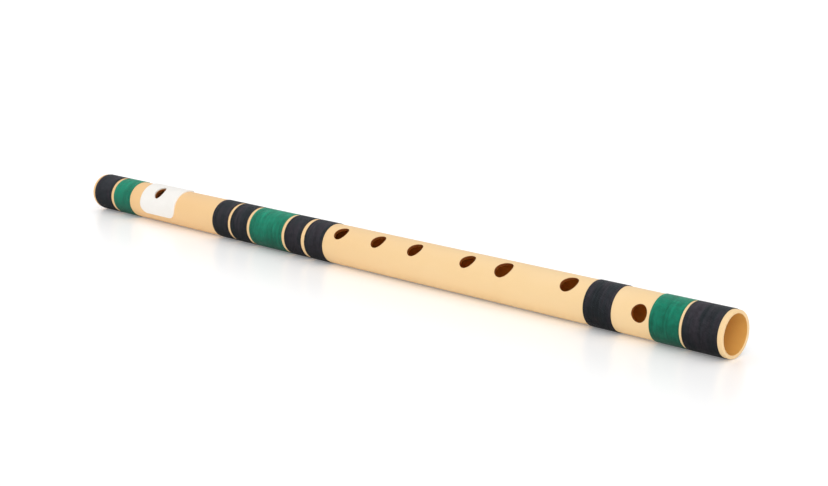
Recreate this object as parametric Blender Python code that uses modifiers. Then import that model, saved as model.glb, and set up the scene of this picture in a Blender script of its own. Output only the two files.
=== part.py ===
"""Bansuri: a side-blown flute of plastic pipe, with a lip plate, a cork stopper and thread bindings.

Metres, +Z up. The flute lies along X with its foot end at +X, resting on its bindings, and its
finger holes are rolled towards -Y. The origin is under the middle of the pipe, where it rests.
"""
import math

import bmesh
import bpy
from mathutils import Matrix

# Pipe
PIPE_LENGTH = 0.4858
PIPE_DIAMETER = 0.0222
PIPE_WALL = 0.00165
END_CHAMFER = 0.0003

# Spans from the head end to the lip plate
HEAD_RIM = 0.0023
BLACK_HEAD_WIDTH = 0.0190
HEAD_LINE = 0.0027
GREEN_HEAD_WIDTH = 0.0182
GREEN_HEAD_TO_PLATE = 0.0120
PLATE_LENGTH = 0.0356
PLATE_END_TO_BLOW_HOLE = 0.0157

# Places of the finger holes, as shares of the way from the blow hole to the foot end: they tune
# the flute, so they stay the same on a longer or a shorter pipe
FINGER_HOLE_SHARES = (0.4037, 0.4739, 0.5405, 0.6304, 0.6889, 0.7882)

# Spans from the first finger hole back towards the head end
BLACK_LOWER_2_TO_HOLE = 0.0109
BLACK_LOWER_2_WIDTH = 0.0153
LOWER_LINE = 0.0027
BLACK_LOWER_1_WIDTH = 0.0146
GREEN_MIDDLE_LINE = 0.0022
GREEN_MIDDLE_WIDTH = 0.0292
BLACK_UPPER_2_WIDTH = 0.0156
UPPER_LINE = 0.0021
BLACK_UPPER_1_WIDTH = 0.0150

# Spans from the last finger hole towards the foot end
HOLE_TO_BLACK_VENT = 0.0119
BLACK_VENT_WIDTH = 0.0165

# Spans from the foot end back towards the head end
FOOT_RIM = 0.0023
BLACK_FOOT_WIDTH = 0.0187
FOOT_LINE = 0.0012
GREEN_FOOT_WIDTH = 0.0164
VENT_TO_GREEN_FOOT = 0.0059

# Holes: the finger holes are in line with the blow hole, and the vent hole is rolled further. The
# finger holes are cut by hand to ovals whose upper ends lean towards the foot end.
BLOW_HOLE_LENGTH = 0.0078
BLOW_HOLE_WIDTH = 0.0093
FINGER_HOLE_LENGTHS = (0.0094, 0.0094, 0.0094, 0.0092, 0.0104, 0.0098)
FINGER_HOLE_WIDTHS = (0.0078, 0.0080, 0.0080, 0.0079, 0.0092, 0.0085)
FINGER_HOLE_SLANT = math.radians(40)
VENT_HOLE_DIAMETER = 0.0086
HOLE_ROLL = math.radians(37.8)
VENT_ROLL = math.radians(73.4)

# Lip plate, bent round the pipe with the blow hole halfway round it
PLATE_WRAP = 0.0303
PLATE_THICKNESS = 0.0007
PLATE_CORNER = 0.0065
PLATE_GLUE = 0.00015

# Bindings: one layer of fine thread over a film of glue
THREAD_DIAMETER = 0.0002
THREAD_GLUE = 0.0001

# Cork stopper in the bore, on the head side of the blow hole
STOPPER_LENGTH = 0.0180
STOPPER_TO_BLOW_HOLE = 0.0154
STOPPER_CHAMFER = 0.0008
STOPPER_CLEARANCE = 0.0003

# Facets
SIDES = 48
HOLE_SIDES = 32
PLATE_STRIPS = 22
PLATE_CORNER_STEPS = 5
MERGE_DISTANCE = 0.00001

# Stations, measured from the head end
black_head_at = HEAD_RIM
green_head_at = black_head_at + BLACK_HEAD_WIDTH + HEAD_LINE
plate_at = green_head_at + GREEN_HEAD_WIDTH + GREEN_HEAD_TO_PLATE
blow_hole_at = plate_at + PLATE_END_TO_BLOW_HOLE
stopper_at = blow_hole_at - STOPPER_TO_BLOW_HOLE - STOPPER_LENGTH
finger_holes_at = [blow_hole_at + share * (PIPE_LENGTH - blow_hole_at)
                   for share in FINGER_HOLE_SHARES]
black_lower_2_at = finger_holes_at[0] - BLACK_LOWER_2_TO_HOLE - BLACK_LOWER_2_WIDTH
black_lower_1_at = black_lower_2_at - LOWER_LINE - BLACK_LOWER_1_WIDTH
green_middle_at = black_lower_1_at - GREEN_MIDDLE_LINE - GREEN_MIDDLE_WIDTH
black_upper_2_at = green_middle_at - GREEN_MIDDLE_LINE - BLACK_UPPER_2_WIDTH
black_upper_1_at = black_upper_2_at - UPPER_LINE - BLACK_UPPER_1_WIDTH
black_vent_at = finger_holes_at[-1] + HOLE_TO_BLACK_VENT
black_foot_at = PIPE_LENGTH - FOOT_RIM - BLACK_FOOT_WIDTH
green_foot_at = black_foot_at - FOOT_LINE - GREEN_FOOT_WIDTH
vent_hole_at = green_foot_at - VENT_TO_GREEN_FOOT

# Radii, each to the middle of a flat
pipe_radius = PIPE_DIAMETER / 2
bore_radius = pipe_radius - PIPE_WALL
binding_inner_radius = pipe_radius + THREAD_GLUE
binding_outer_radius = binding_inner_radius + THREAD_DIAMETER
plate_inner_radius = pipe_radius + PLATE_GLUE
stopper_radius = bore_radius - STOPPER_CLEARANCE

for old in list(bpy.data.objects):
    bpy.data.objects.remove(old, do_unlink=True)
flute = bpy.data.collections.new("bansuri")
cutters = bpy.data.collections.new("cutters")
bpy.context.scene.collection.children.link(flute)
bpy.context.scene.collection.children.link(cutters)

# The flute is built standing on its head end, and this empty lays it down: its Z runs to the foot
# end, its X points up and its Y points to -Y, so a hole's roll from the top is a turn about its Z.
axis = bpy.data.objects.new("flute_axis", None)
axis.rotation_mode = "ZYX"
axis.rotation_euler = (0, math.pi / 2, math.pi)
axis.location = (-PIPE_LENGTH / 2, 0, binding_outer_radius)
flute.objects.link(axis)


def corner(radius, sides=SIDES):
    """Radius to a polygon's corners, from the radius to the middle of its flats."""
    return radius / math.cos(math.pi / sides)


def finish(name, colour, roughness):
    """A plain material from an sRGB hex colour."""
    made = bpy.data.materials.new(name)
    made.use_nodes = True
    shader = made.node_tree.nodes["Principled BSDF"]
    levels = [int(colour[i:i + 2], 16) / 255 for i in (0, 2, 4)]
    linear = [level / 12.92 if level < 0.04045 else ((level + 0.055) / 1.055) ** 2.4
              for level in levels]
    shader.inputs["Base Color"].default_value = (*linear, 1)
    shader.inputs["Roughness"].default_value = roughness
    shader.inputs["Metallic"].default_value = 0
    return made


def place(name, mesh, at, roll):
    """An object on the flute's axis, at a station and a roll."""
    made = bpy.data.objects.new(name, mesh)
    made.parent = axis
    made.location = (0, 0, at)
    made.rotation_euler = (0, 0, roll)
    return made


def turned(name, profile, closed, material, at):
    """A solid turned about the flute's axis, with one of its flats underneath.

    The profile's (radius, height) points run down the outer side, then up the inner side if the
    solid is hollow. A closed profile is hollow, and an open one starts and ends on the axis.
    """
    mesh = bpy.data.meshes.new(name)
    edges = [(i, i + 1) for i in range(len(profile) - 1)]
    if closed:
        edges.append((len(profile) - 1, 0))
    mesh.from_pydata([(corner(radius), 0, height) for radius, height in profile], edges, [])
    mesh.materials.append(material)
    made = place(name, mesh, at, math.pi / SIDES)
    flute.objects.link(made)
    screw = made.modifiers.new("turn", "SCREW")
    screw.axis = "Z"
    screw.angle = 2 * math.pi
    screw.steps = screw.render_steps = SIDES
    screw.use_merge_vertices = True
    screw.merge_threshold = MERGE_DISTANCE
    screw.use_smooth_shade = True
    return made


def drill(name, at, roll, along, across, slant=0):
    """An oval cutter from the flute's axis out through one wall, slanted from the pipe's length."""
    reach = 2 * pipe_radius
    shape = bmesh.new()
    bmesh.ops.create_cone(shape, segments=HOLE_SIDES, cap_ends=True, depth=reach,
                          radius1=corner(0.5, HOLE_SIDES), radius2=corner(0.5, HOLE_SIDES))
    bmesh.ops.rotate(shape, verts=shape.verts, matrix=Matrix.Rotation(math.pi / 2, 3, "Y"))
    bmesh.ops.scale(shape, verts=shape.verts, vec=(1, across, along))
    bmesh.ops.rotate(shape, verts=shape.verts, matrix=Matrix.Rotation(slant, 3, "X"))
    bmesh.ops.translate(shape, verts=shape.verts, vec=(reach / 2, 0, 0))
    mesh = bpy.data.meshes.new(name)
    shape.to_mesh(mesh)
    shape.free()
    made = place(name, mesh, at, roll)
    made.display_type = "WIRE"
    made.hide_render = True
    cutters.objects.link(made)
    return made


def cut(target, cutter):
    """Takes the cutter out of the target."""
    boolean = target.modifiers.new(cutter.name, "BOOLEAN")
    boolean.operation = "DIFFERENCE"
    boolean.solver = "EXACT"
    boolean.object = cutter


def lip_plate(material):
    """A sheet with round corners, bent round the pipe in narrow strips and given its thickness."""
    shape = bmesh.new()
    bmesh.ops.create_grid(shape, x_segments=1, y_segments=1, size=0.5)
    bmesh.ops.scale(shape, verts=shape.verts, vec=(PLATE_WRAP, PLATE_LENGTH, 1))
    bmesh.ops.bevel(shape, geom=shape.verts[:], offset=PLATE_CORNER, offset_type="OFFSET",
                    segments=PLATE_CORNER_STEPS, profile=0.5, affect="VERTICES")
    for strip in range(1, PLATE_STRIPS):
        across = (strip / PLATE_STRIPS - 0.5) * PLATE_WRAP
        bmesh.ops.bisect_plane(shape, geom=shape.verts[:] + shape.edges[:] + shape.faces[:],
                               plane_co=(across, 0, 0), plane_no=(1, 0, 0))
    radius = corner(plate_inner_radius)
    for vert in shape.verts:
        angle = vert.co.x / plate_inner_radius
        vert.co = (radius * math.cos(angle), radius * math.sin(angle), vert.co.y)
    bmesh.ops.recalc_face_normals(shape, faces=shape.faces)
    if shape.faces[0].normal.dot(shape.faces[0].calc_center_median().xy.to_3d()) < 0:
        bmesh.ops.reverse_faces(shape, faces=shape.faces)
    mesh = bpy.data.meshes.new("lip_plate")
    shape.to_mesh(mesh)
    shape.free()
    mesh.materials.append(material)
    made = place("lip_plate", mesh, plate_at + PLATE_LENGTH / 2, HOLE_ROLL)
    flute.objects.link(made)
    solid = made.modifiers.new("thickness", "SOLIDIFY")
    solid.thickness = PLATE_THICKNESS
    solid.offset = 1
    solid.use_even_offset = True
    return made


cream_plastic = finish("cream_plastic", "fbd79f", 0.4)
white_plastic = finish("white_plastic", "f8f4ee", 0.45)
black_thread = finish("black_thread", "2f2d33", 0.5)
green_thread = finish("green_thread", "23795f", 0.5)
cork = finish("cork", "b98a5e", 0.9)

pipe = turned("pipe", [
    (pipe_radius, PIPE_LENGTH - END_CHAMFER),
    (pipe_radius, END_CHAMFER),
    (pipe_radius - END_CHAMFER, 0),
    (bore_radius + END_CHAMFER, 0),
    (bore_radius, END_CHAMFER),
    (bore_radius, PIPE_LENGTH - END_CHAMFER),
    (bore_radius + END_CHAMFER, PIPE_LENGTH),
    (pipe_radius - END_CHAMFER, PIPE_LENGTH),
], True, cream_plastic, 0)
plate = lip_plate(white_plastic)

blow_hole = drill("blow_hole", blow_hole_at, HOLE_ROLL, BLOW_HOLE_LENGTH, BLOW_HOLE_WIDTH)
cut(pipe, blow_hole)
cut(plate, blow_hole)
finger_holes = zip(finger_holes_at, FINGER_HOLE_LENGTHS, FINGER_HOLE_WIDTHS)
for number, (at, length, width) in enumerate(finger_holes, 1):
    cut(pipe, drill(f"finger_hole_{number}", at, HOLE_ROLL, length, width, FINGER_HOLE_SLANT))
cut(pipe, drill("vent_hole", vent_hole_at, VENT_ROLL, VENT_HOLE_DIAMETER, VENT_HOLE_DIAMETER))

for name, at, width, thread in (
    ("binding_black_head", black_head_at, BLACK_HEAD_WIDTH, black_thread),
    ("binding_green_head", green_head_at, GREEN_HEAD_WIDTH, green_thread),
    ("binding_black_upper_1", black_upper_1_at, BLACK_UPPER_1_WIDTH, black_thread),
    ("binding_black_upper_2", black_upper_2_at, BLACK_UPPER_2_WIDTH, black_thread),
    ("binding_green_middle", green_middle_at, GREEN_MIDDLE_WIDTH, green_thread),
    ("binding_black_lower_1", black_lower_1_at, BLACK_LOWER_1_WIDTH, black_thread),
    ("binding_black_lower_2", black_lower_2_at, BLACK_LOWER_2_WIDTH, black_thread),
    ("binding_black_vent", black_vent_at, BLACK_VENT_WIDTH, black_thread),
    ("binding_green_foot", green_foot_at, GREEN_FOOT_WIDTH, green_thread),
    ("binding_black_foot", black_foot_at, BLACK_FOOT_WIDTH, black_thread),
):
    turned(name, [
        (binding_outer_radius, width),
        (binding_outer_radius, 0),
        (binding_inner_radius, 0),
        (binding_inner_radius, width),
    ], True, thread, at)

turned("stopper_cork", [
    (0, STOPPER_LENGTH),
    (stopper_radius - STOPPER_CHAMFER, STOPPER_LENGTH),
    (stopper_radius, STOPPER_LENGTH - STOPPER_CHAMFER),
    (stopper_radius, STOPPER_CHAMFER),
    (stopper_radius - STOPPER_CHAMFER, 0),
    (0, 0),
], False, cork, stopper_at)
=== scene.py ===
"""Bansuri: the looks of a side-blown flute of plastic pipe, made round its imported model.

Metres, +Z up. The flute lies along X on a pale floor, with its foot end at +X.
"""
import math

import bmesh
import bpy
from mathutils import Matrix, Vector, noise


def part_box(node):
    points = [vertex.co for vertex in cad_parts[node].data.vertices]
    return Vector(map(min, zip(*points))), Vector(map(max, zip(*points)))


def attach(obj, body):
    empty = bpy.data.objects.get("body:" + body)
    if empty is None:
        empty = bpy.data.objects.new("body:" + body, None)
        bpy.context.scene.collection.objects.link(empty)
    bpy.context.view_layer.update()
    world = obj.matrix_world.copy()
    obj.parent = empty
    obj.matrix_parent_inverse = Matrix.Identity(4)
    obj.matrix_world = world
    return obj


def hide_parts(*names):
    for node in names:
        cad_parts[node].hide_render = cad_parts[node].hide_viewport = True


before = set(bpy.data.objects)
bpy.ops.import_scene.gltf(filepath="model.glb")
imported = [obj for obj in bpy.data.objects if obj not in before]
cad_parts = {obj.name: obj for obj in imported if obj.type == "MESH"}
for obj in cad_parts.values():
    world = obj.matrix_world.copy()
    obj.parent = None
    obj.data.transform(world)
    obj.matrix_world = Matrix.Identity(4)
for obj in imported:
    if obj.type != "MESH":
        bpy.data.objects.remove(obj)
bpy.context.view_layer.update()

# The pipe is one length of extruded CPVC water pipe, cream right through. It is sawn square and its
# ends are rounded with sandpaper. Its holes are cut through and opened by hand to slanting ovals
# with a narrow round lip. Their walls are painted dark brown as painted shade, and the bore is
# painted golden brown as painted light that shines through the wall.
MM = 0.001
SAME_POINT = 0.001 * MM
PIPE_WALL = 1.65 * MM
PIPE_SIDES = 192
END_ROUND = 0.35 * MM
END_STEPS = 6
END_BAND = 1.2 * MM
HOLE_SIDES = 64
HOLE_LIP = 0.3 * MM
LIP_STEPS = 5
LIP_SWEEP = math.radians(60)
HOLE_ROLL = math.radians(37.8)
VENT_ROLL = math.radians(73.4)
BLOW_HOLE_AT = 69.9 * MM
BLOW_HOLE_SIZE = (7.8 * MM, 9.3 * MM)
VENT_HOLE_AT = 441.3 * MM
VENT_HOLE_SIZE = (8.6 * MM, 8.6 * MM)
FINGER_HOLE_SLANT = math.radians(40)
# Each finger hole's distance from the head end, its length and its width, in millimetres
FINGER_HOLES = (
    (237.8, 9.4, 7.8),
    (267.0, 9.4, 8.0),
    (294.7, 9.4, 8.0),
    (332.1, 9.2, 7.9),
    (356.4, 10.4, 9.2),
    (397.7, 9.8, 8.5),
)

pipe_low, pipe_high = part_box("pipe")
pipe_length = pipe_high.x - pipe_low.x
pipe_radius = (pipe_high.z - pipe_low.z) / 2
axis_height = (pipe_high.z + pipe_low.z) / 2
axis = Matrix.Translation((0, 0, axis_height))


def spun(section, sides):
    """Turns the edges of a section in the XZ plane once round the X axis."""
    bmesh.ops.spin(section, geom=section.verts[:] + section.edges[:], cent=(0, 0, 0), axis=(1, 0, 0),
                   dvec=(0, 0, 0), angle=math.tau, steps=sides, use_merge=True)
    bmesh.ops.remove_doubles(section, verts=section.verts, dist=SAME_POINT)
    bmesh.ops.recalc_face_normals(section, faces=section.faces)


def wall_section(length, depth, outer_radius, rounding, steps):
    """The outline of a wall, length by depth, with round corners and its outer side at a radius."""
    section = bmesh.new()
    bmesh.ops.create_grid(section, x_segments=1, y_segments=1, size=0.5)
    bmesh.ops.scale(section, verts=section.verts, vec=(length, depth, 1))
    bmesh.ops.bevel(section, geom=section.verts[:], offset=rounding, offset_type="OFFSET",
                    segments=steps, profile=0.5, affect="VERTICES", material=-1)
    bmesh.ops.delete(section, geom=section.faces[:], context="FACES_ONLY")
    bmesh.ops.rotate(section, verts=section.verts, matrix=Matrix.Rotation(math.pi / 2, 3, "X"))
    bmesh.ops.translate(section, verts=section.verts, vec=(0, 0, outer_radius - depth / 2))
    return section


def sliced(shape, place, facing):
    """Cuts every face of a bmesh that crosses a plane, and keeps both sides."""
    bmesh.ops.bisect_plane(shape, geom=shape.verts[:] + shape.edges[:] + shape.faces[:],
                           plane_co=place, plane_no=facing)


def as_object(shape, name, place, smooth_below=30):
    """Makes a bmesh into an object at the origin, smooth where its faces meet below so many degrees."""
    shape.transform(place)
    mesh = bpy.data.meshes.new(name)
    shape.to_mesh(mesh)
    shape.free()
    mesh.shade_smooth()
    mesh.set_sharp_from_angle(angle=math.radians(smooth_below))
    made = bpy.data.objects.new(name, mesh)
    bpy.context.scene.collection.objects.link(made)
    return made


def drill_bit(station, roll, size, surface_radius, slant=0):
    """An oval bit from the pipe's axis outwards, flared so that it leaves a round lip.

    The station is its distance from the head end, and the size is its length and its width.
    """
    bit = bmesh.new()
    bmesh.ops.create_circle(bit, segments=HOLE_SIDES, radius=0.5, cap_ends=True)
    bmesh.ops.scale(bit, verts=bit.verts, vec=(*size, 1))
    lip_depth = HOLE_LIP * math.sin(LIP_SWEEP)
    rings = [(0, surface_radius - lip_depth)]
    for step in range(1, LIP_STEPS + 1):
        sweep = LIP_SWEEP * step / LIP_STEPS
        rings.append((HOLE_LIP * (1 - math.cos(sweep)),
                      surface_radius - lip_depth + HOLE_LIP * math.sin(sweep)))
    flared = rings[-1][0] + lip_depth
    rings.append((flared, surface_radius + HOLE_LIP * math.cos(LIP_SWEEP)))
    rings.append((flared, surface_radius + pipe_radius / 2))
    end = bit.faces[:][0]
    grown = 0
    for growth, height in rings:
        moved = bmesh.ops.extrude_face_region(bit, geom=[end, *end.edges])["geom"]
        end = next(item for item in moved if isinstance(item, bmesh.types.BMFace))
        ring = end.verts[:]
        bmesh.ops.scale(bit, verts=ring, vec=((size[0] + 2 * growth) / (size[0] + 2 * grown),
                                              (size[1] + 2 * growth) / (size[1] + 2 * grown), 1))
        grown = growth
        for vert in ring:
            vert.co.z = height
    bmesh.ops.rotate(bit, verts=bit.verts, matrix=Matrix.Rotation(slant, 3, "Z"))
    # The rings are bent down to the round surface, so that the lip is equally wide all round the hole
    for vert in bit.verts:
        if vert.co.z > 0:
            vert.co.z += math.sqrt(surface_radius ** 2 - vert.co.y ** 2) - surface_radius
    bmesh.ops.recalc_face_normals(bit, faces=bit.faces)
    turn = Matrix.Rotation(roll, 4, "X")
    bit.transform(Matrix.Translation((pipe_low.x + station, 0, 0)) @ turn)
    return bit


def drilled(piece, bits, smooth_below=20):
    """Cuts the drill bits out of a piece and gives it the cut mesh."""
    cutters = [as_object(bit, f"bit_{number}", axis) for number, bit in enumerate(bits)]
    for cutter in cutters:
        cut = piece.modifiers.new(cutter.name, "BOOLEAN")
        cut.operation = "DIFFERENCE"
        cut.solver = "EXACT"
        cut.object = cutter
    depsgraph = bpy.context.evaluated_depsgraph_get()
    cut_mesh = bpy.data.meshes.new_from_object(piece.evaluated_get(depsgraph))
    piece.modifiers.clear()
    piece.data = cut_mesh
    cut_mesh.name = piece.name
    cut_mesh.shade_smooth()
    cut_mesh.set_sharp_from_angle(angle=math.radians(smooth_below))
    for cutter in cutters:
        bpy.data.objects.remove(cutter)


pipe_shape = wall_section(pipe_length, PIPE_WALL, pipe_radius, END_ROUND, END_STEPS)
spun(pipe_shape, PIPE_SIDES)
for end in (-1, 1):
    sliced(pipe_shape, (end * (pipe_length / 2 - END_BAND), 0, 0), (1, 0, 0))
pipe = as_object(pipe_shape, "pipe_smooth", axis)
bits = [drill_bit(BLOW_HOLE_AT, HOLE_ROLL, BLOW_HOLE_SIZE, pipe_radius),
        drill_bit(VENT_HOLE_AT, VENT_ROLL, VENT_HOLE_SIZE, pipe_radius)]
for station, length, width in FINGER_HOLES:
    bits.append(drill_bit(station * MM, HOLE_ROLL, (length * MM, width * MM), pipe_radius,
                          FINGER_HOLE_SLANT))
drilled(pipe, bits)

# CPVC: a warm cream plastic with a satin surface from the extruder, which leaves faint lines along it,
# drawn coarser than they are so that they show. It has yellowed towards the head end. Its bore is
# painted golden as painted light that shines through the wall, deeper orange away from the ends as
# painted shade, and its hole walls are painted dark brown as painted shade.
PIPE_CLOUD = 22.2 * MM
LINE_LENGTH = 167 * MM
LINE_WIDTH = 0.71 * MM
LINE_DEPTH = 0.03 * MM
# The yellowing grows between two places along X, and the bore's painted shade between two distances from
# an end
YELLOW_FROM = 120 * MM
YELLOW_TO = -240 * MM
BORE_SHADE_FROM = 15 * MM
BORE_SHADE_TO = 35 * MM
# The bore's painted light ends this far above its surface, and the hole walls' painted shade sets in
# this far under the pipe's surface
BORE_SKIN = (0.02 * MM, 0.05 * MM)
HOLE_SHADE_DEPTH = (0.15 * MM, 0.35 * MM)
# The inputs and the output of a colour Mix go by number, because their names repeat
SHARE, LOW, HIGH, MIXED = 0, 6, 7, 2


def linear(code):
    """Linear colour of an sRGB hex code."""
    levels = [int(code[i:i + 2], 16) / 255 for i in (0, 2, 4)]
    return (*[level / 12.92 if level < 0.04045 else ((level + 0.055) / 1.055) ** 2.4
              for level in levels], 1)


def add(tree, kind, inputs, **settings):
    """Adds a shader node with its settings. An input is a value, a socket or a node's first output."""
    node = tree.nodes.new("ShaderNode" + kind)
    for name, value in settings.items():
        setattr(node, name, value)
    for name, value in inputs.items():
        if isinstance(value, bpy.types.Node):
            value = value.outputs[0]
        if isinstance(value, bpy.types.NodeSocket):
            tree.links.new(value, node.inputs[name])
        else:
            node.inputs[name].default_value = value
    return node


def start_material(name):
    """An empty material, its node tree and its Object coordinates."""
    made = bpy.data.materials.new(name)
    made.use_nodes = True
    tree = made.node_tree
    tree.nodes.clear()
    return made, tree, add(tree, "TexCoord", {}).outputs["Object"]


cpvc, tree, place = start_material("extruded_cpvc")
cloud = add(tree, "TexNoise", {"Vector": place, "Scale": 1 / PIPE_CLOUD, "Detail": 3, "Roughness": 0.6})
fresh = add(tree, "Mix", {SHARE: cloud, LOW: linear("f8d399"), HIGH: linear("fad9a6")}, data_type="RGBA")
along = add(tree, "SeparateXYZ", {"Vector": place}).outputs["X"]
yellowed = add(tree, "MapRange", {"Value": along, "From Min": YELLOW_TO, "From Max": YELLOW_FROM,
                                  "To Min": 1, "To Max": 0})
tone = add(tree, "Mix", {SHARE: yellowed, LOW: fresh.outputs[MIXED], HIGH: linear("f2c488")},
           data_type="RGBA")
from_middle = add(tree, "Math", {0: along}, operation="ABSOLUTE")
# Painted light in the bore: golden, for light that shines through the wall, and deeper orange away from
# the ends as painted shade
painted_bore_shade = add(tree, "MapRange", {"Value": from_middle, "From Min": pipe_length / 2 - BORE_SHADE_FROM,
                                 "From Max": pipe_length / 2 - BORE_SHADE_TO})
painted_bore_light = add(tree, "Mix", {SHARE: painted_bore_shade, LOW: linear("e8b15c"), HIGH: linear("ea9a34")},
                data_type="RGBA")
from_axis = add(tree, "VectorMath", {0: place, 1: (0, 0, -axis_height)}, operation="ADD")
across = add(tree, "VectorMath", {0: from_axis, 1: (0, 1, 1)}, operation="MULTIPLY")
radius = add(tree, "VectorMath", {0: across}, operation="LENGTH").outputs["Value"]
above_bore = add(tree, "MapRange", {"Value": radius, "From Min": pipe_radius - PIPE_WALL + BORE_SKIN[0],
                                    "From Max": pipe_radius - PIPE_WALL + BORE_SKIN[1]})
aged_and_painted_bore = add(tree, "Mix", {SHARE: above_bore, LOW: painted_bore_light.outputs[MIXED], HIGH: tone.outputs[MIXED]},
           data_type="RGBA")
# Painted shade: the hole walls, inside the wall between the bore and the lip, are painted dark brown
below_lip = add(tree, "MapRange", {"Value": radius, "From Min": pipe_radius - HOLE_SHADE_DEPTH[0],
                                   "From Max": pipe_radius - HOLE_SHADE_DEPTH[1]})
in_wall = add(tree, "Math", {0: above_bore, 1: below_lip}, operation="MULTIPLY")
off_ends = add(tree, "Math", {0: from_middle, 1: pipe_length / 2 - END_BAND}, operation="LESS_THAN")
painted_hole_shade = add(tree, "Math", {0: in_wall, 1: off_ends}, operation="MULTIPLY")
colour = add(tree, "Mix", {SHARE: painted_hole_shade, LOW: aged_and_painted_bore.outputs[MIXED], HIGH: linear("86430f")},
             data_type="RGBA")
lengthwise = add(tree, "Mapping", {
    "Vector": place, "Scale": (1 / LINE_LENGTH, 1 / LINE_WIDTH, 1 / LINE_WIDTH)})
lines = add(tree, "TexNoise", {"Vector": lengthwise, "Scale": 1, "Detail": 2})
relief = add(tree, "Bump", {"Height": lines, "Strength": 0.15, "Distance": LINE_DEPTH})
shader = add(tree, "BsdfPrincipled", {
    "Base Color": colour.outputs[MIXED], "Roughness": 0.5, "IOR": 1.53, "Normal": relief})
add(tree, "OutputMaterial", {"Surface": shader})
pipe.data.materials.clear()
pipe.data.materials.append(cpvc)
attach(pipe, "flute")
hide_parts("pipe")

# The lip plate is a thin sheet of white plastic with round corners, bent hot round the pipe and
# glued on. The blow hole is drilled through it and the pipe at once, and its edges are eased.
PLATE_TOP = 0.85 * MM
PLATE_THICKNESS = 0.83 * MM
PLATE_WRAP = math.radians(154.3)
PLATE_CORNER = 6.5 * MM
CORNER_STEPS = 10
PLATE_EDGE = 0.25 * MM
PLATE_EDGE_STEPS = 5
PLATE_STRIPS = 79

plate_low, plate_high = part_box("lip_plate")
plate_length = plate_high.x - plate_low.x
plate_outer = pipe_radius + PLATE_TOP
plate_inner = plate_outer - PLATE_THICKNESS
plate_width = PLATE_WRAP * plate_outer

sheet = bmesh.new()
bmesh.ops.create_grid(sheet, x_segments=1, y_segments=1, size=0.5)
bmesh.ops.scale(sheet, verts=sheet.verts, vec=(plate_length, plate_width, 1))
bmesh.ops.bevel(sheet, geom=sheet.verts[:], offset=PLATE_CORNER, offset_type="OFFSET",
                segments=CORNER_STEPS, profile=0.5, affect="VERTICES", material=-1)
moved = bmesh.ops.extrude_face_region(sheet, geom=sheet.faces[:])["geom"]
top = next(item for item in moved if isinstance(item, bmesh.types.BMFace))
bmesh.ops.translate(sheet, verts=top.verts[:], vec=(0, 0, PLATE_THICKNESS))
bmesh.ops.recalc_face_normals(sheet, faces=sheet.faces)
bmesh.ops.bevel(sheet, geom=top.edges[:], offset=PLATE_EDGE, offset_type="OFFSET",
                segments=PLATE_EDGE_STEPS, profile=0.5, affect="EDGES", material=-1)
crown = max(sheet.faces, key=lambda face: face.calc_center_median().z)
bmesh.ops.inset_region(sheet, faces=[crown], thickness=PLATE_EDGE)
for strip in range(1, PLATE_STRIPS):
    seam = (strip / PLATE_STRIPS - 0.5) * plate_width
    sliced(sheet, (0, seam, 0), (0, 1, 0))
for vert in sheet.verts:
    bend = vert.co.y / plate_outer
    reach = plate_inner + vert.co.z
    vert.co = (vert.co.x, reach * math.sin(bend), reach * math.cos(bend))
bmesh.ops.recalc_face_normals(sheet, faces=sheet.faces)
turn = Matrix.Rotation(HOLE_ROLL, 4, "X")
plate_at = Matrix.Translation(((plate_low.x + plate_high.x) / 2, 0, 0))
plate = as_object(sheet, "lip_plate_bent", axis @ plate_at @ turn)
drilled(plate, [drill_bit(BLOW_HOLE_AT, HOLE_ROLL, BLOW_HOLE_SIZE, plate_outer)])

# White ABS: opaque and even, with a satin moulded skin, whose fine grain is drawn coarser than it is
PLATE_CLOUD = 8.3 * MM
SKIN_GRAIN = 0.33 * MM
SKIN_DEPTH = 0.02 * MM
abs_white, tree, place = start_material("white_abs")
cloud = add(tree, "TexNoise", {"Vector": place, "Scale": 1 / PLATE_CLOUD, "Detail": 3})
tone = add(tree, "Mix", {SHARE: cloud, LOW: linear("f4f0ea"), HIGH: linear("fbf8f3")}, data_type="RGBA")
grain = add(tree, "TexNoise", {"Vector": place, "Scale": 1 / SKIN_GRAIN, "Detail": 2})
relief = add(tree, "Bump", {"Height": grain, "Strength": 0.1, "Distance": SKIN_DEPTH})
shader = add(tree, "BsdfPrincipled", {
    "Base Color": tone.outputs[MIXED], "Roughness": 0.42, "IOR": 1.53, "Normal": relief})
add(tree, "OutputMaterial", {"Surface": shader})
plate.data.materials.clear()
plate.data.materials.append(abs_white)
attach(plate, "flute")
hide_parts("lip_plate")

# Each binding is one polyester thread wound tight over a film of glue, side by side in a helix, and
# pressed a little flat. Its ends are tucked into the glue on the underside.
THREAD_WIDTH = 0.34 * MM
THREAD_HEIGHT = 0.2 * MM
THREAD_SIDES = 8
THREAD_FILL = 0.98
THREAD_SAME_POINT = 0.0002 * MM
STEPS_PER_TURN = 96
TUCK_TURNS = 0.06
UNEVEN = 0.012 * MM
UNEVEN_LENGTH = 5 * MM
FILM_TOP = 0.13 * MM
FILM_GAP = 0.005 * MM
FILM_INSET = 0.1 * MM
FILM_ROUND = 0.03 * MM
FILM_STEPS = 2
TWIST_LENGTH = 1.1 * MM
TWIST_DEPTH = 0.02 * MM
PLIES = 3
DYE_WIDTH = 3.85 * MM
DYE_SPREAD = 16.7 * MM
MOTTLE_SIZE = 2 * MM
ROW_WIDTH = 4.2 * THREAD_WIDTH
ROW_SPREAD = 50 * MM


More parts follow.
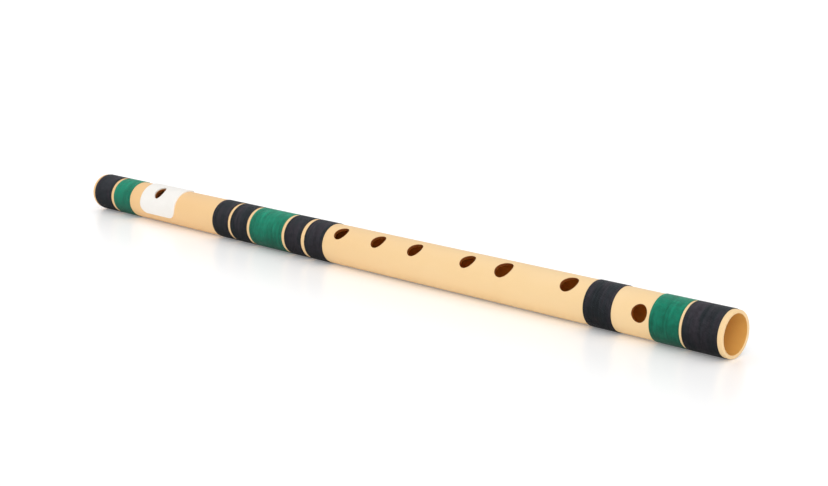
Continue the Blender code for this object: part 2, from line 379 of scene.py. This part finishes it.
def wound_thread(low_x, high_x, outer_radius):
    """A flat grid rolled into an oval thread, which is wound as a helix about the X axis."""
    turns = round((high_x - low_x) / THREAD_WIDTH) - 1
    pitch = (high_x - low_x - THREAD_WIDTH) / turns
    centre_radius = outer_radius - UNEVEN - THREAD_HEIGHT / 2
    thread = bmesh.new()
    run_map = thread.loops.layers.uv.new("thread")
    bmesh.ops.create_grid(thread, x_segments=turns * STEPS_PER_TURN, y_segments=THREAD_SIDES, size=0.5,
                          calc_uvs=True)
    for face in thread.faces:
        for loop in face.loops:
            loop[run_map].uv.x *= turns * math.tau * outer_radius
    for vert in thread.verts:
        run = (vert.co.x + 0.5) * turns
        around = vert.co.y * math.tau
        angle = run * math.tau
        tuck = min(1, run / TUCK_TURNS, (turns - run) / TUCK_TURNS)
        x = low_x + THREAD_WIDTH / 2 + run * pitch
        spot = Vector((x / THREAD_WIDTH, math.sin(angle) * outer_radius / UNEVEN_LENGTH,
                       math.cos(angle) * outer_radius / UNEVEN_LENGTH))
        radius = centre_radius + UNEVEN * noise.noise(spot) - (1 - tuck) * THREAD_HEIGHT / 2
        x += tuck * math.cos(around) * pitch * THREAD_FILL / 2
        radius += tuck * math.sin(around) * THREAD_HEIGHT / 2
        vert.co = (x, -radius * math.sin(angle), -radius * math.cos(angle))
    bmesh.ops.remove_doubles(thread, verts=thread.verts, dist=THREAD_SAME_POINT)
    bmesh.ops.recalc_face_normals(thread, faces=thread.faces)
    return thread


def thread_finish(name, low_tone, high_tone, shine, shine_tone):
    """Waxed polyester thread: unevenly dyed, with loose turns, twist lines and a waxy shine, and with
    painted shade that darkens it low down and lightens it on top.

    The rows of loose turns are each about four threads wide, and the mottling is 2 mm across, which
    is coarser than on a real thread, so that both show from a step away.
    """
    made, tree, place = start_material(name)
    spots = add(tree, "Mapping", {
        "Vector": place, "Scale": (1 / DYE_WIDTH, 1 / DYE_SPREAD, 1 / DYE_SPREAD)})
    patches = add(tree, "TexNoise", {"Vector": spots, "Scale": 1, "Detail": 3})
    share = add(tree, "MapRange", {"Value": patches, "From Min": 0.4, "From Max": 0.6})
    tone = add(tree, "Mix", {SHARE: share, LOW: linear(low_tone), HIGH: linear(high_tone)},
               data_type="RGBA")
    # Painted shade: the thread is darkened low down and lightened on top, as the light falls on it
    height = add(tree, "SeparateXYZ", {"Vector": place}).outputs["Z"]
    painted_shade_by_height = add(tree, "MapRange", {"Value": height, "From Min": 0.3 * axis_height,
                                   "From Max": 2 * axis_height, "To Min": 0.38, "To Max": 1.25})
    blotches = add(tree, "TexNoise", {
        "Vector": place, "Scale": 1 / MOTTLE_SIZE, "Detail": 3, "Roughness": 0.7})
    mottled = add(tree, "MapRange", {"Value": blotches, "From Min": 0.35, "From Max": 0.65,
                                     "To Min": 0.82, "To Max": 1.2})
    turns = add(tree, "Mapping", {
        "Vector": place, "Scale": (1 / ROW_WIDTH, 1 / ROW_SPREAD, 1 / ROW_SPREAD)})
    loose = add(tree, "TexNoise", {"Vector": turns, "Scale": 1, "Detail": 2, "Roughness": 0.8})
    rows = add(tree, "MapRange", {"Value": loose, "From Min": 0.35, "From Max": 0.6,
                                  "To Min": 0.74, "To Max": 1.12})
    # The colour is scaled by the painted shade, by the random mottle and by the rows of loose turns
    depth = add(tree, "Math", {0: painted_shade_by_height, 1: mottled}, operation="MULTIPLY")
    painted_shade_mottle_and_rows = add(tree, "Math", {0: depth, 1: rows}, operation="MULTIPLY")
    dye_and_painted_shade = add(tree, "VectorMath", {0: tone.outputs[MIXED], "Scale": painted_shade_mottle_and_rows}, operation="SCALE")
    run = add(tree, "TexCoord", {}).outputs["UV"]
    phase = add(tree, "VectorMath", {0: run, 1: (math.tau / TWIST_LENGTH, math.tau * PLIES, 0)},
                operation="DOT_PRODUCT").outputs["Value"]
    twist = add(tree, "Math", {0: phase}, operation="SINE")
    relief = add(tree, "Bump", {"Height": twist, "Strength": 0.5, "Distance": TWIST_DEPTH})
    shader = add(tree, "BsdfPrincipled", {
        "Base Color": dye_and_painted_shade, "Roughness": 0.35, "IOR": 1.575, "Normal": relief,
        "Specular IOR Level": shine, "Specular Tint": linear(shine_tone)})
    add(tree, "OutputMaterial", {"Surface": shader})
    return made


thread_finishes = {
    "black_thread": thread_finish("waxed_thread_black", "2a2f33", "37343a", 0.05, "ffffff"),
    "green_thread": thread_finish("waxed_thread_green", "0a7057", "148166", 0.25, "b0ffe0"),
}

for node in sorted(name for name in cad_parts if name.startswith("binding_")):
    low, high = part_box(node)
    outer = (high.z - low.z) / 2
    winding = wound_thread(low.x, high.x, outer)
    film = wall_section(high.x - low.x - 2 * FILM_INSET, FILM_TOP - FILM_GAP, pipe_radius + FILM_TOP,
                        FILM_ROUND, FILM_STEPS)
    spun(film, STEPS_PER_TURN)
    film.transform(Matrix.Translation(((low.x + high.x) / 2, 0, 0)))
    film_mesh = bpy.data.meshes.new("film")
    film.to_mesh(film_mesh)
    film.free()
    winding.from_mesh(film_mesh)
    bpy.data.meshes.remove(film_mesh)
    binding = as_object(winding, node.replace("binding", "winding"), axis, smooth_below=60)
    slot = "green_thread" if "green" in node else "black_thread"
    binding.data.materials.append(thread_finishes[slot])
    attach(binding, "flute")
    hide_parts(node)

# The stopper is a plug of natural cork, cut across the bark, sanded round and pushed into the bore.
# Its dark pits and its coarse grain show from the head end.
CORK_SIDES = 96
CORK_EDGE = 0.8 * MM
CORK_EDGE_STEPS = 4
CORK_RINGS = 24
FACE_RINGS = 8
FACE_RING_WIDTH = 1 * MM
PIT_SIZE = 1.6 * MM
PIT_DEPTH = 0.35 * MM
PIT_LEVEL = 0.2

cork_low, cork_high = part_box("stopper_cork")
cork_length = cork_high.x - cork_low.x
cork_radius = (cork_high.z - cork_low.z) / 2
plug = bmesh.new()
bmesh.ops.create_cone(plug, segments=CORK_SIDES, cap_ends=True, depth=cork_length,
                      radius1=cork_radius, radius2=cork_radius)
rims = [edge for edge in plug.edges if abs(edge.verts[0].co.z - edge.verts[1].co.z) < SAME_POINT]
bmesh.ops.bevel(plug, geom=rims, offset=CORK_EDGE, offset_type="OFFSET", segments=CORK_EDGE_STEPS,
                profile=0.5, affect="EDGES", material=-1)
for face in [face for face in plug.faces if len(face.verts) == CORK_SIDES]:
    for ring in range(FACE_RINGS):
        bmesh.ops.inset_region(plug, faces=[face], thickness=FACE_RING_WIDTH)
for ring in range(1, CORK_RINGS):
    height = (ring / CORK_RINGS - 0.5) * (cork_length - 2 * CORK_EDGE)
    sliced(plug, (0, 0, height), (0, 0, 1))
plug.normal_update()
for vert in plug.verts:
    pit = max(0, noise.noise(vert.co / PIT_SIZE) - PIT_LEVEL)
    vert.co -= vert.normal * PIT_DEPTH * pit
lay = Matrix.Rotation(math.pi / 2, 4, "Y")
cork_at = Matrix.Translation(((cork_low.x + cork_high.x) / 2, 0, 0))
stopper = as_object(plug, "stopper_plug", axis @ cork_at @ lay, smooth_below=40)

# Natural cork: matt and tan, with darker pores that are a millimetre or two across
SPECKLE_SIZE = 1.1 * MM
PORE_SPACING = 2.4 * MM
PORE_DEPTH = 0.2 * MM
cork, tree, place = start_material("natural_cork")
speckle = add(tree, "TexNoise", {
    "Vector": place, "Scale": 1 / SPECKLE_SIZE, "Detail": 5, "Roughness": 0.7})
tone = add(tree, "Mix", {SHARE: speckle, LOW: linear("a9784a"), HIGH: linear("d3a878")},
           data_type="RGBA")
pores = add(tree, "TexVoronoi", {"Vector": place, "Scale": 1 / PORE_SPACING, "Randomness": 1})
pore_edge = add(tree, "MapRange", {"Value": pores.outputs["Distance"], "From Min": 0.12,
                                   "From Max": 0.3})
pitted = add(tree, "Mix", {SHARE: pore_edge, LOW: linear("6b4424"), HIGH: tone.outputs[MIXED]},
             data_type="RGBA")
relief = add(tree, "Bump", {"Height": pore_edge, "Strength": 0.6, "Distance": PORE_DEPTH})
shader = add(tree, "BsdfPrincipled", {
    "Base Color": pitted.outputs[MIXED], "Roughness": 0.9, "IOR": 1.4, "Normal": relief})
add(tree, "OutputMaterial", {"Surface": shader})
stopper.data.materials.append(cork)
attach(stopper, "stopper")
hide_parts("stopper_cork")

# The floor is a wide sheet of white acrylic, a little glossy, which keeps the flute's soft shadow.
# To an eye or a gloss it glows faintly, so that it shows white, and that glow lights nothing.
FLOOR_SIZE = 12
FLOOR_GLOW = 0.15
RIPPLE_LENGTH = 33 * MM
RIPPLE_DEPTH = 0.1 * MM


def seen_ray(tree):
    """1 for a ray that comes from the camera, a gloss or a clear surface, and 0 for one that lights."""
    rays = add(tree, "LightPath", {}).outputs
    gloss = add(tree, "Math", {0: rays["Is Glossy Ray"], 1: rays["Is Transmission Ray"]},
                operation="MAXIMUM")
    return add(tree, "Math", {0: rays["Is Camera Ray"], 1: gloss}, operation="MAXIMUM")


floor_shape = bmesh.new()
bmesh.ops.create_grid(floor_shape, x_segments=1, y_segments=1, size=FLOOR_SIZE / 2)
floor = as_object(floor_shape, "floor", Matrix.Identity(4))
acrylic, tree, place = start_material("white_acrylic_sheet")
ripple = add(tree, "TexNoise", {"Vector": place, "Scale": 1 / RIPPLE_LENGTH, "Detail": 1})
relief = add(tree, "Bump", {"Height": ripple, "Strength": 0.05, "Distance": RIPPLE_DEPTH})
glow = add(tree, "Math", {0: seen_ray(tree), 1: FLOOR_GLOW}, operation="MULTIPLY")
shader = add(tree, "BsdfPrincipled", {
    "Base Color": linear("ffffff"), "Roughness": 0.3, "IOR": 1.49, "Normal": relief,
    "Emission Color": linear("ffffff"), "Emission Strength": glow})
add(tree, "OutputMaterial", {"Surface": shader})
floor.data.materials.append(acrylic)

# The light is an even white room with two broad soft lamps: one overhead, and one in front of the
# flute, low and towards its foot end.
ROOM_LEVEL = 0.48
room = bpy.data.worlds.new("white_room")
room.use_nodes = True
tree = room.node_tree
tree.nodes.clear()
level = add(tree, "MapRange", {"Value": seen_ray(tree), "To Min": ROOM_LEVEL, "To Max": 1})
sky = add(tree, "Background", {"Color": linear("ffffff"), "Strength": level})
add(tree, "OutputWorld", {"Surface": sky})
bpy.context.scene.world = room
# Each lamp's name, the direction that it shines from, its strength and how many degrees wide it is
for name, shines_from, strength, width in (
    ("overhead_lamp", (0, 0, 1), 0.85, 90),
    ("foot_lamp", (0.6, -0.7, 0.4), 1.15, 50),
):
    lamp = bpy.data.lights.new(name, "SUN")
    lamp.energy = strength
    lamp.angle = math.radians(width)
    lamp_object = bpy.data.objects.new(name, lamp)
    lamp_object.rotation_euler = Vector(shines_from).to_track_quat("Z", "Y").to_euler()
    bpy.context.scene.collection.objects.link(lamp_object)

# The camera stands beyond the foot end, low and to the front, where the photograph was taken from.
# Its sensor and lens are in millimetres.
CAMERA_PLACE = Vector((0.57379, -0.53488, 0.19024))
CAMERA_AIM = Vector((0.04475, -0.00015, 0.02121))
CAMERA_SENSOR = 36
CAMERA_LENS = 63.28
camera_data = bpy.data.cameras.new("camera")
camera_data.sensor_width = CAMERA_SENSOR
camera_data.lens = CAMERA_LENS
camera = bpy.data.objects.new("camera", camera_data)
camera.location = CAMERA_PLACE
camera.rotation_euler = (CAMERA_AIM - CAMERA_PLACE).to_track_quat("-Z", "Y").to_euler()
bpy.context.scene.collection.objects.link(camera)
bpy.context.scene.camera = camera
bpy.context.scene.view_settings.view_transform = "Standard"
